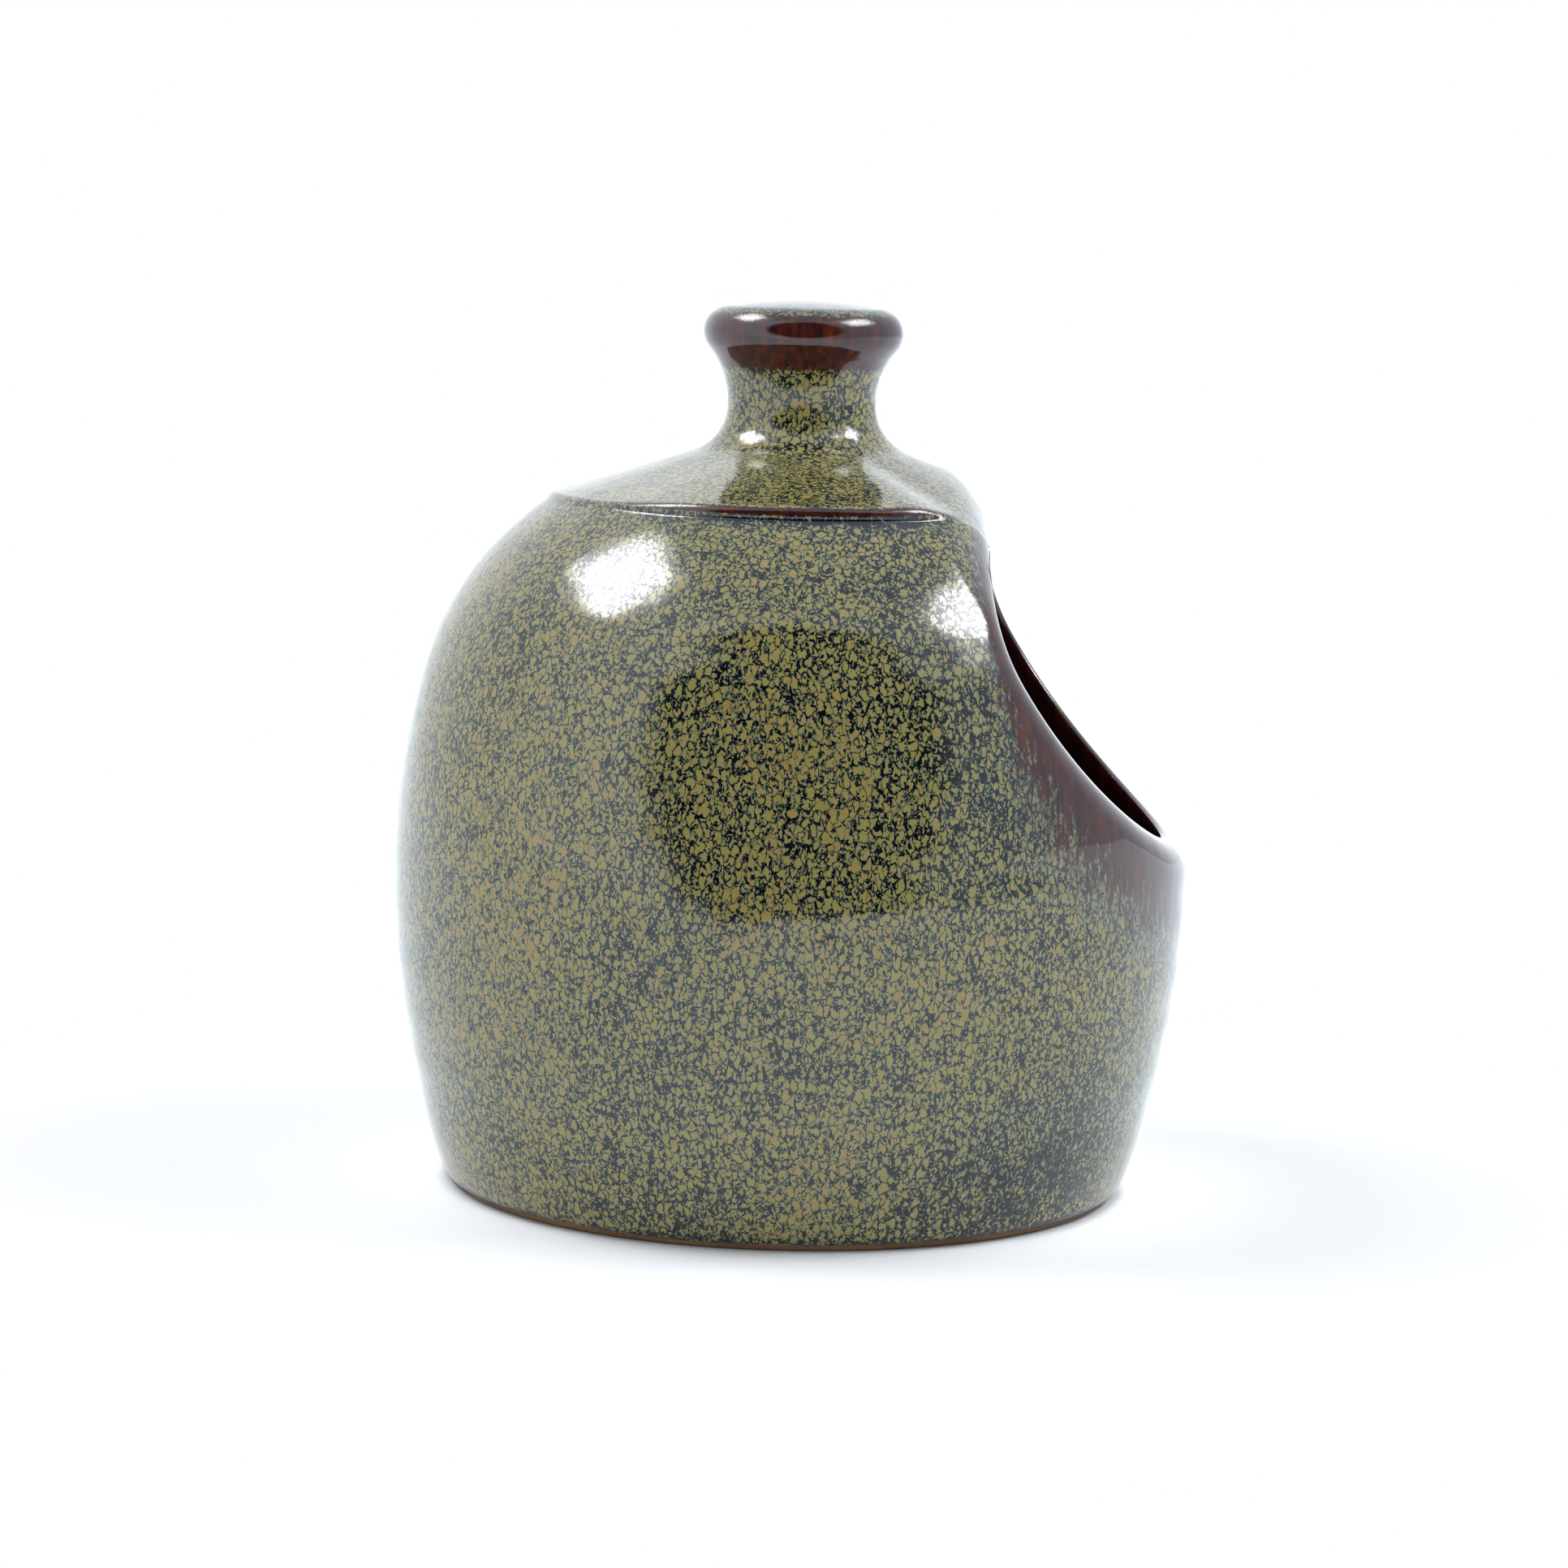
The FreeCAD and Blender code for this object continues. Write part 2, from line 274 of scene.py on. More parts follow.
def wander(points):
    """How far the ridge is lifted or dropped here by the potter's hand."""
    azimuth = np.arctan2(points[:, 1], points[:, 0])
    near_ridge = np.exp(-((points[:, 2] - CREASE_HEIGHT) / 9.0) ** 2)
    return RIDGE_DIP * near_ridge * (np.sin(azimuth + 0.6) * 0.8 + 0.3 * np.sin(2.0 * azimuth + 1.1))


def ridge_fade(points):
    """1 where the ridge is crisp, falling to 0 at the opening and part of the way at the back."""
    azimuth = np.degrees(np.abs(np.arctan2(points[:, 1], points[:, 0])))
    return smooth_step(azimuth, *RIDGE_MELTS) * (1.0 - 0.6 * smooth_step(azimuth, *RIDGE_SOFTENS))


def ripple(points):
    """Soft throwing rings on the wall, always inward of the full outline."""
    azimuth = np.arctan2(points[:, 1], points[:, 0])
    phase = 2.0 * math.pi * points[:, 2] / THROWING_PITCH + 0.5 * np.sin(azimuth)
    on_wall = smooth_step(points[:, 2], 8.0, 30.0) * (1.0 - smooth_step(points[:, 2], 100.0, 116.0))
    slow = 0.5 + 0.5 * np.sin(azimuth * 2.0 + points[:, 2] / 21.0)
    return THROWING_RIPPLE * on_wall * (1.0 + np.cos(phase)) * slow


def outer_distance(points):
    radius = np.hypot(points[:, 0], points[:, 1])
    height = points[:, 2] - wander(points)
    fade = ridge_fade(points)
    crisp, soft = side_distance(CRISP, radius, height), side_distance(SOFT, radius, height)
    return fade * crisp + (1.0 - fade) * soft + ripple(points)


def hollow_distance(points):
    radius = np.hypot(points[:, 0], points[:, 1])
    wall = side_distance(WALL_ONLY, radius, points[:, 2])
    beyond = (wall > 1e8) | (points[:, 2] >= CREASE_HEIGHT + WALL)
    wall = np.where(beyond, -WALL * 3.0, wall) + WALL
    ceiling_hub = points - np.array([0.0, 0.0, CEILING_HEIGHT - CEILING_CURVE])
    ceiling = np.linalg.norm(ceiling_hub, axis=1) - CEILING_CURVE
    above_floor = round_max(wall, FLOOR_TOP - points[:, 2], INNER_CORNER_ROUND)
    return round_max(above_floor, ceiling, INNER_CORNER_ROUND)


def scoop_distance(points):
    """Distance into the clay from the face of the scoop, negative in the space that it removed."""
    return side_distance(SCOOP, points[:, 0], points[:, 2])


def rim_round(points):
    grown = smooth_step(points[:, 2], RIM_ROLL_LOW, RIM_ROLL_HIGH)
    return RIM_ROUND_SIDE + (RIM_ROUND_TOP - RIM_ROUND_SIDE) * grown


def jar_distance(points):
    """Distance outside the glazed face of the jar, with the hollow and the opening."""
    cut = round_max(outer_distance(points), -scoop_distance(points), rim_round(points))
    return round_max(cut, -hollow_distance(points), RIM_ROUND_INSIDE)


def gradient(points, field=jar_distance, reach=0.02):
    steps = np.eye(3) * reach
    slopes = [field(points + step) - field(points - step) for step in steps]
    return np.stack(slopes, axis=1) / (2.0 * reach)


def settle(points):
    """Moves points onto the glazed face, each straight along the shape's own slope."""
    for _ in range(SETTLE_STEPS):
        slope = gradient(points)
        size = np.maximum(np.sum(slope * slope, axis=1), 0.05)
        step = np.clip(jar_distance(points) / size, -1.0, 1.0)
        points = points - slope * step[:, None]
    return points


# ---------------------------------------------------------------- quad grids

class Turned:
    """A turned line, as radius and height against row number."""

    def __init__(self, points):
        self.points = points
        self.rows = np.arange(len(points))

    def at(self, column, row):
        """Places at this column and row, either of which may be a fraction."""
        angle = 2.0 * math.pi * np.asarray(column) / COLUMNS
        radius = np.interp(row, self.rows, self.points[:, 0])
        height = np.interp(row, self.rows, self.points[:, 1])
        return np.stack([radius * np.cos(angle), radius * np.sin(angle), height + 0.0 * angle], axis=-1)

    def grid(self, columns, rows):
        column, row = np.meshgrid(columns, rows)
        return self.at(column, row)


def outer_line():
    """Rows up the outside, close together where the outline turns sharply."""
    joints = CRISP[1:]
    counts = []
    for start, end in zip(joints, joints[1:]):
        radius = bow(start, end)
        turn = abs(end[2] - start[2])
        length = abs(radius) * math.radians(turn)
        counts.append(math.ceil(max(length / ROW_LENGTH, turn / ROW_TURN)))
    points = sample_chain(joints, counts)
    wiped_row = points[points[:, 1] < GLAZE_LINE - LINE_WANDER][-1:]
    return np.concatenate([wiped_row, points[points[:, 1] > GLAZE_LINE + LINE_WANDER]])


def inner_line(window_rows):
    """Rows inside, from the middle of the floor up the wall to the middle of the ceiling.

    Returns the points and the numbers of the window's lowest and highest rows, with the same
    count of rows between them as the outside has.
    """
    wall = sample_chain(WALL_ONLY, [40, 40, 40])
    inside = wall - WALL * outward_normals(wall)
    hub = CEILING_HEIGHT - CEILING_CURVE
    below_ceiling = np.hypot(inside[:, 0], inside[:, 1] - hub) < CEILING_CURVE
    inside = inside[(inside[:, 1] > FLOOR_TOP) & below_ceiling]
    edge = inside[-1, 0]
    radii = np.linspace(edge, 0.0, 40)[1:]
    ceiling = np.stack([radii, hub + np.sqrt(CEILING_CURVE ** 2 - radii ** 2)], axis=1)
    path = np.concatenate([[[0.0, FLOOR_TOP], [inside[0, 0], FLOOR_TOP]], inside, ceiling])
    length = np.concatenate([[0.0], np.cumsum(np.linalg.norm(np.diff(path, axis=0), axis=1))])
    low = np.interp(WINDOW_LOW_HEIGHT, inside[:, 1], length[2:2 + len(inside)])
    high = length[-1] - WINDOW_HIGH_RADIUS
    stations = np.concatenate([
        np.linspace(0.0, low, math.ceil(low / ROW_LENGTH), endpoint=False),
        np.linspace(low, high, window_rows),
        np.linspace(high, length[-1], math.ceil((length[-1] - high) / ROW_LENGTH) + 1)[1:]])
    first = math.ceil(low / ROW_LENGTH)
    points = [np.interp(stations, length, path[:, axis]) for axis in (0, 1)]
    return np.stack(points, axis=1), first, first + window_rows - 1


def outward_normals(points):
    """Unit normals to the right of a line of points, which is outward on the way up."""
    along = np.gradient(points, axis=0)
    along /= np.linalg.norm(along, axis=1)[:, None]
    return np.stack([along[:, 1], -along[:, 0]], axis=1)


def window_loop(low, high):
    """Columns and rows once round the window's edge, starting at its lower corner."""
    columns, rows = np.arange(-WINDOW, WINDOW + 1), np.arange(low, high + 1)
    column = np.concatenate([columns, np.full(len(rows) - 1, WINDOW), columns[-2::-1],
                             np.full(len(rows) - 2, -WINDOW)])
    row = np.concatenate([np.full(len(columns), low), rows[1:], np.full(len(columns) - 1, high),
                          rows[-2:0:-1]])
    return column.astype(float), row.astype(float)


def reach_rim(line, loop, centre_row):
    """How far along each ray, from the middle of the opening to the window's edge, the rim is."""
    near, far = np.zeros(len(loop[0])), np.ones(len(loop[0]))
    for _ in range(30):
        middle = (near + far) / 2.0
        place = line.at(middle * loop[0], centre_row + middle * (loop[1] - centre_row))
        removed = scoop_distance(place) < 0.0
        near, far = np.where(removed, middle, near), np.where(removed, far, middle)
    return far


def weave(line, loop, centre_row, shares):
    """Loops from the window's edge to the rim, one for each share of the way."""
    rim = reach_rim(line, loop, centre_row)
    loops = []
    for share in shares:
        ray = 1.0 + share * (rim - 1.0)
        loops.append(line.at(ray * loop[0], centre_row + ray * (loop[1] - centre_row)))
    return np.array(loops)


def quads(grid, closed):
    """Vertices and quads of a grid of points, closed round its second axis or not."""
    rows, columns = grid.shape[:2]
    across = columns if closed else columns - 1
    row, column = np.meshgrid(np.arange(rows - 1), np.arange(across), indexing="ij")
    beside = (column + 1) % columns
    faces = np.stack([row * columns + column, row * columns + beside,
                      (row + 1) * columns + beside, (row + 1) * columns + column], axis=-1)
    return grid.reshape(-1, 3), faces.reshape(-1, 4)


def join_grids(grids):
    """One mesh from grids that share edges: same places become one vertex."""
    places, faces, owners, base = [], [], [], 0
    for number, (grid, closed) in enumerate(grids):
        points, cells = quads(grid, closed)
        places.append(points)
        faces.append(cells + base)
        owners.append(np.full(len(cells), number))
        base += len(points)
    places, faces = np.concatenate(places), np.concatenate(faces)
    _, first, same = np.unique(np.round(places, 4), axis=0, return_index=True, return_inverse=True)
    return places[first], same.reshape(-1)[faces], np.concatenate(owners)


def facing_out(points, faces, owners):
    """The faces, with each grid's turned together so that they look away from the clay."""
    corners = points[faces]
    normal = np.cross(corners[:, 2] - corners[:, 0], corners[:, 3] - corners[:, 1])
    agree = np.sum(normal * gradient(corners.mean(axis=1)), axis=1)
    wrong = np.bincount(owners, weights=agree)[owners] < 0.0
    faces[wrong] = faces[wrong][:, ::-1]
    return faces


def glazed_grids():
    """The grids of the outside and of the inside, which meet along the middle of the rim."""
    outside = Turned(outer_line())
    low = int(np.argmin(np.abs(outside.points[:, 1] - WINDOW_LOW_HEIGHT)))
    reach = np.where(outside.points[:, 1] < CREASE_HEIGHT, BELLY_RADIUS, outside.points[:, 0])
    high = int(np.argmin(np.abs(reach - WINDOW_HIGH_RADIUS)))
    loop = window_loop(low, high)
    centre_row = float(np.interp(SCOOP_WAIST_HEIGHT - 2.0, outside.points[:high, 1], np.arange(high)))
    inner_points, inner_low, inner_high = inner_line(high - low + 1)
    inside = Turned(inner_points)
    inner_loop = (loop[0], loop[1] - low + inner_low)
    wall_rows = np.arange(inner_low, inner_high)
    inner_centre = float(np.interp(SCOOP_WAIST_HEIGHT - 4.0, inner_points[wall_rows, 1], wall_rows))
    shares = 1.0 - (1.0 - np.linspace(0.0, 1.0, WEAVE_ROWS + 1)) ** 1.5
    outer_weave = weave(outside, loop, centre_row, shares)
    inner_weave = weave(inside, inner_loop, inner_centre, shares)
    across = np.linspace(0.0, 1.0, RIM_ROWS + 1)[:, None, None]
    rim = outer_weave[-1][None] * (1.0 - across) + inner_weave[-1][None] * across
    middle = RIM_ROWS // 2
    outer = turned_grids(outside, low, high) + [(outer_weave, True), (rim[:middle + 1], True)]
    inner = turned_grids(inside, inner_low, inner_high) + [(rim[middle:], True),
                                                           (inner_weave[::-1], True)]
    return outer, inner


def turned_grids(line, low, high):
    """The turned face below, behind and above the window that the opening is woven into."""
    behind = np.arange(WINDOW, COLUMNS - WINDOW + 1)
    around, last = np.arange(COLUMNS), len(line.points) - 1
    return [(line.grid(around, np.arange(0, low + 1)), True),
            (line.grid(np.mod(behind, COLUMNS), np.arange(low, high + 1)), False),
            (line.grid(around, np.arange(high, last + 1)), True)]


def handmade(points):
    """Lifts the rows by the ridge so that they follow it as it wanders."""
    lifted = points.copy()
    lifted[:, 2] += wander(points)
    return lifted


def glaze_face(grids):
    """Settled points, outward quads and unit normals of one side of the glaze."""
    points, faces, owners = join_grids(grids)
    points = settle(handmade(points))
    slope = gradient(points)
    return points, facing_out(points, faces, owners), slope / np.linalg.norm(slope, axis=1)[:, None]


def trim_to_glaze_line(points, faces, normals):
    """Wipes the glaze off the foot: the lowest row ends in a level, slightly uneven line."""
    azimuth = np.arctan2(points[:, 1], points[:, 0])
    line = GLAZE_LINE + 0.12 * np.sin(5.0 * azimuth + 0.7) + 0.08 * np.sin(11.0 * azimuth)
    under = points[:, 2] < line
    points[under, 2] = line[under]
    return settle_level(points, under), faces, normals


def settle_level(points, chosen):
    """Moves the chosen points onto the glazed face without changing their height."""
    moving = points[chosen]
    for _ in range(SETTLE_STEPS):
        slope = gradient(moving)
        slope[:, 2] = 0.0
        size = np.maximum(np.sum(slope * slope, axis=1), 0.05)
        moving = moving - slope * (jar_distance(moving) / size)[:, None]
    points[chosen] = moving
    return points


def edge_loops(faces):
    """Edges that only one face uses, in that face's own direction."""
    edges = np.concatenate([np.stack([faces[:, i], faces[:, (i + 1) % 4]], axis=1) for i in range(4)])
    edges = edges[edges[:, 0] != edges[:, 1]]
    key = np.sort(edges, axis=1)
    _, index, count = np.unique(key, axis=0, return_index=True, return_counts=True)
    return edges[index[count == 1]]


def closed_coat(points, faces, normals):
    """A coat of even thickness: the face, its back against the clay, and the edges between."""
    count = len(points)
    rim = edge_loops(faces)
    walls = np.stack([rim[:, 1], rim[:, 0], rim[:, 0] + count, rim[:, 1] + count], axis=1)
    places = np.concatenate([points, points - GLAZE * normals])
    faces = np.concatenate([faces, faces[:, ::-1] + count, walls])
    return places, faces, np.concatenate([normals, -normals])


def build_mesh(name, points, faces, normals=None):
    """A mesh object in metres, from millimetres; repeated corners make a triangle."""
    corners = [list(dict.fromkeys(face)) for face in faces.tolist()]
    mesh = bpy.data.meshes.new(name)
    mesh.from_pydata((points * MM).tolist(), [], [corner for corner in corners if len(corner) > 2])
    mesh.update()
    mesh.shade_smooth()
    if normals is not None:
        mesh.normals_split_custom_set_from_vertices(normals.tolist())
    piece = bpy.data.objects.new(name, mesh)
    bpy.context.scene.collection.objects.link(piece)
    return piece


def glaze_marks(piece, points):
    """Attributes that say where the glaze runs thin, pools or drips, for its material."""
    height = points[:, 2] - wander(points)
    front = np.cos(np.arctan2(points[:, 1], points[:, 0]) - math.radians(RIDGE_THIN_AZIMUTH))
    on_ridge = np.exp(-((height - RIDGE_APEX) / 0.75) ** 2) * ridge_fade(points) * (0.62 + 0.38 * front)
    on_knob = smooth_step(height, *KNOB_RUST_START) * (1.0 - smooth_step(height, *KNOB_RUST_END))
    pooled = np.exp(-((height - CREASE_HEIGHT - 0.2) / 0.75) ** 2) * ridge_fade(points)
    foot_edge = 1.0 - smooth_step(points[:, 2], GLAZE_LINE, GLAZE_LINE + 1.4)
    from_scoop = np.maximum(scoop_distance(points), 0.0)
    run = THIN_SIDE + (THIN_LIP - THIN_SIDE) * (1.0 - smooth_step(points[:, 2], 58.0, 104.0))
    gap = (points - STARVED_SPOT) / STARVED_SIZE
    starved = 2.5 * np.exp(-np.sum(gap * gap, axis=1)) + 0.6 * (1.0 - smooth_step(from_scoop, 6.0, 40.0))
    run_off = from_scoop / run
    milky = np.maximum(0.6 * (1.0 - smooth_step(run_off, 1.3, 2.6)), smooth_step(height, 153.2, 154.6))
    marks = {"thin": np.maximum(on_ridge, on_knob), "pooled": np.maximum(pooled, foot_edge * 0.6),
             "run_off": run_off, "from_rim": from_scoop, "starved": starved, "milky": milky}
    for name, values in marks.items():
        layer = piece.data.attributes.new(name, "FLOAT", "POINT")
        layer.data.foreach_set("value", np.concatenate([values, values]).astype(np.float32))


def make_glaze():
    """The speckled coat outside and the liner inside, as closed coats that meet at the rim."""
    outer_grids, inner_grids = glazed_grids()
    pieces = []
    for name, grids in (("outer_glaze_coat", outer_grids), ("liner_glaze_coat", inner_grids)):
        points, faces, normals = glaze_face(grids)
        if name.startswith("outer"):
            points, faces, normals = trim_to_glaze_line(points, faces, normals)
        piece = build_mesh(name, *closed_coat(points, faces, normals))
        glaze_marks(piece, points)
        pieces.append(piece)
    return pieces


# ---------------------------------------------------------------- materials

def linear(colour):
    """Linear RGBA from an sRGB hex colour."""
    levels = [int(colour[i:i + 2], 16) / 255.0 for i in (1, 3, 5)]
    return [v / 12.92 if v <= 0.04045 else ((v + 0.055) / 1.055) ** 2.4 for v in levels] + [1.0]


def add(tree, kind, inputs=(), stops=(), **settings):
    """Adds a node. Each input is a value, an output socket, or a node for its first output.

    Stops are the positions and hex colours of a colour ramp.
    """
    node = tree.nodes.new(kind)
    for name, value in settings.items():
        setattr(node, name, value)
    for name, value in dict(inputs).items():
        value = value.outputs[0] if isinstance(value, bpy.types.Node) else value
        if isinstance(value, bpy.types.NodeSocket):
            tree.links.new(value, node.inputs[name])
        else:
            node.inputs[name].default_value = value
    for index, (position, colour) in enumerate(stops):
        elements = node.color_ramp.elements
        element = elements[index] if index < 2 else elements.new(position)
        element.position, element.color = position, linear(colour)
    return node


def weigh(tree, start, parts):
    """A sum of patterns, each given as the pattern, its middle and how much of it counts.

    A pattern is a node, a socket, or the name of an attribute on the glaze.
    """
    total = start - sum(middle * share for _, middle, share in parts)
    for pattern, _, share in parts:
        if isinstance(pattern, str):
            pattern = add(tree, "ShaderNodeAttribute", attribute_name=pattern).outputs["Fac"]
        total = add(tree, "ShaderNodeMath", {0: pattern, 1: share, 2: total}, operation="MULTIPLY_ADD")
    return total


def paint(tree, base, layers):
    """Colours laid one over another, each given as how much of it shows and the colour."""
    for share, colour in layers:
        base = add(tree, "ShaderNodeMix", {0: share, 6: base, 7: colour}, data_type="RGBA").outputs[2]
    return base


def millimetres(tree, stretch=(1.0, 1.0, 1.0)):
    """Object coordinates in millimetres, squeezed along an axis to lengthen a pattern there."""
    place = add(tree, "ShaderNodeTexCoord").outputs["Object"]
    return add(tree, "ShaderNodeVectorMath", {0: place, 1: [axis / MM for axis in stretch]},
               operation="MULTIPLY")


def new_material(name, colour_and_relief, roughness, relief_mm, ior):
    """A material from a function that gives its colour and its relief, 0 to 1 deep."""
    material = bpy.data.materials.new(name)
    material.use_nodes = True
    tree = material.node_tree
    tree.nodes.clear()
    colour, relief = colour_and_relief(tree)
    bump = add(tree, "ShaderNodeBump", {"Height": relief, "Distance": relief_mm * MM, "Strength": 1.0})
    surface = add(tree, "ShaderNodeBsdfPrincipled", {"Base Color": colour, "Roughness": roughness,
                                                     "IOR": ior, "Normal": bump})
    add(tree, "ShaderNodeOutputMaterial", {"Surface": surface})
    return material


def tea_dust(tree):
    """Ochre and olive crystals about 1.2 mm across, parted by a broken net of blue-black glass."""
    flow = millimetres(tree, (1.0, 1.0, 0.68))
    stir = add(tree, "ShaderNodeTexNoise", {"Vector": flow, "Scale": 1.1,
                                            "Detail": 2.0}).outputs["Color"]
    shift = add(tree, "ShaderNodeVectorMath", {0: stir, 1: [2.2] * 3, 2: [-1.1] * 3},
                operation="MULTIPLY_ADD")
    place = add(tree, "ShaderNodeVectorMath", {0: flow, 1: shift}, operation="ADD")
    veins = add(tree, "ShaderNodeTexVoronoi", {"Vector": place, "Scale": 0.78},
                feature="DISTANCE_TO_EDGE")
    cells = add(tree, "ShaderNodeMapRange", {"Value": veins, "From Max": 0.20},
                interpolation_type="SMOOTHSTEP")
    fine = add(tree, "ShaderNodeTexNoise", {"Vector": place, "Scale": 1.7, "Detail": 3.0,
                                            "Roughness": 0.65})
    patch = add(tree, "ShaderNodeTexNoise", {"Vector": flow, "Scale": 0.33, "Detail": 2.0})
    broad = add(tree, "ShaderNodeTexNoise", {"Vector": flow, "Scale": 0.03, "Detail": 2.0})
    level = weigh(tree, 0.50, [
        (cells, 0.62, 0.50), (fine, 0.5, 1.25), (patch, 0.5, 0.45), (broad, 0.5, 0.30),
        ("pooled", 0.0, -0.35), ("starved", 0.0, -0.12)])
    crystals = add(tree, "ShaderNodeValToRGB", {0: level}, [
        (0.22, "#060A10"), (0.32, "#101822"), (0.38, "#37454B"), (0.44, "#666E55"), (0.55, "#807E4E"),
        (0.74, "#8A7D46"), (0.96, "#917037")])
    return crystals, fine, level


def rust(tree, length):
    """Rust and plum where the glaze is thin over the iron in the clay, in fine runs."""
    runs = add(tree, "ShaderNodeTexNoise", {"Vector": millimetres(tree, (1.0, 1.0, length)),
                                            "Scale": 0.75, "Detail": 3.0, "Roughness": 0.6})
    return add(tree, "ShaderNodeValToRGB", {0: runs}, [
        (0.30, "#251013"), (0.48, "#351615"), (0.62, "#471D12"), (0.78, "#5C2A14")]), runs


def orange_peel(tree):
    """The soft unevenness of poured glaze, a few millimetres from swell to swell."""
    return add(tree, "ShaderNodeTexNoise", {"Vector": millimetres(tree), "Scale": 0.16, "Detail": 1.0})


def tea_dust_glaze(tree):
    """An iron glaze that breaks to rust on the knob and ridge and runs off the rim in drips."""
    crystals, fine, level = tea_dust(tree)
    bare, _ = rust(tree, 0.10)
    dashes = add(tree, "ShaderNodeTexNoise", {"Vector": millimetres(tree, (1.0, 1.0, 0.22)),
                                              "Scale": 1.15, "Detail": 2.0, "Roughness": 0.6})
    run_off = weigh(tree, 0.0, [("run_off", 0.0, 1.0), (dashes, 0.5, 3.4)])
    ran = add(tree, "ShaderNodeMapRange", {"Value": run_off, "From Min": 1.75, "From Max": 1.05},
              interpolation_type="SMOOTHSTEP")
    thin = weigh(tree, 0.0, [("thin", 0.0, 1.0), (fine, 0.5, 1.1)])
    worn = add(tree, "ShaderNodeMapRange", {"Value": thin, "From Min": 0.38, "From Max": 0.62},
               interpolation_type="SMOOTHSTEP")
    drips = add(tree, "ShaderNodeValToRGB", {0: fine}, [
        (0.40, "#151B22"), (0.50, "#46545C"), (0.62, "#707B76")])
    milky = weigh(tree, 0.0, [("milky", 0.0, 0.75)])
    colour = paint(tree, crystals.outputs[0], [(milky, drips), (ran, bare), (worn, bare)])
    return colour, weigh(tree, 0.0, [(orange_peel(tree), 0.0, 1.0), (level, 0.0, 0.02)])


def liner_glaze(tree):
    """An iron glaze poured in and out, rust at the rim, painted nearly black further in from the rim as
    painted shade inside the jar.
    """
    edge_colour, runs = rust(tree, 0.12)
    # painted shade: near-black colours for the inside of the jar away from the rim
    deep = add(tree, "ShaderNodeValToRGB", {0: runs}, [
        (0.35, "#080706"), (0.55, "#0F0C09"), (0.75, "#1A140D")])
    depth = weigh(tree, 0.0, [("from_rim", 0.0, 1.0), (runs, 0.5, 2.5)])
    # painted shade: how far the inside has darkened, growing inward from the rim
    painted_shade_inward = add(tree, "ShaderNodeMapRange", {"Value": depth, "From Min": 1.5, "From Max": 8.0},
                interpolation_type="SMOOTHSTEP")
    return paint(tree, edge_colour.outputs[0], [(painted_shade_inward, deep)]), orange_peel(tree)


def clay_with_painted_shade(tree):
    """Brown clay, trimmed and wiped with a wet sponge, with iron specks and fine grog; its buff is
    painted down to these browns as painted shade for the foot, which sits in shadow.
    """
    place = millimetres(tree)
    grain = add(tree, "ShaderNodeTexNoise", {"Vector": place, "Scale": 1.6, "Detail": 4.0,
                                             "Roughness": 0.7})
    flush = add(tree, "ShaderNodeTexNoise", {"Vector": place, "Scale": 0.05, "Detail": 2.0})
    # painted shade: the clay's own colour darkened to brown for the shadow under the foot
    clay = add(tree, "ShaderNodeValToRGB", {0: flush}, [(0.35, "#7E5F3F"), (0.65, "#6A4E33")])
    iron = add(tree, "ShaderNodeTexNoise", {"Vector": place, "Scale": 0.9, "Detail": 2.0})
    specks = add(tree, "ShaderNodeMapRange", {"Value": iron, "From Min": 0.66, "From Max": 0.74})
    return paint(tree, clay.outputs[0], [(specks, linear("#4A3524"))]), grain


# ---------------------------------------------------------------- clay under the glaze

def clay_core(node):
    """The clay of one piece, drawn in where it would stand outside the back of the glaze."""
    mesh = bmesh.new()
    mesh.from_mesh(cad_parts[node].data)
    bmesh.ops.remove_doubles(mesh, verts=mesh.verts, dist=1e-6)
    mesh.verts.ensure_lookup_table()
    points = np.array([vertex.co for vertex in mesh.verts]) / MM
    for _ in range(SETTLE_STEPS):
        slope = gradient(points)
        size = np.maximum(np.sum(slope * slope, axis=1), 0.25)
        over = np.maximum(jar_distance(points) + GLAZE + CLAY_GAP, 0.0)
        points -= slope * (over / size)[:, None]
    for vertex, place in zip(mesh.verts, points):
        vertex.co = place * MM
    data = bpy.data.meshes.new(node + "_clay")
    mesh.to_mesh(data)
    mesh.free()
    piece = bpy.data.objects.new(node + "_clay", data)
    bpy.context.scene.collection.objects.link(piece)
    return piece


# ---------------------------------------------------------------- trimmed foot

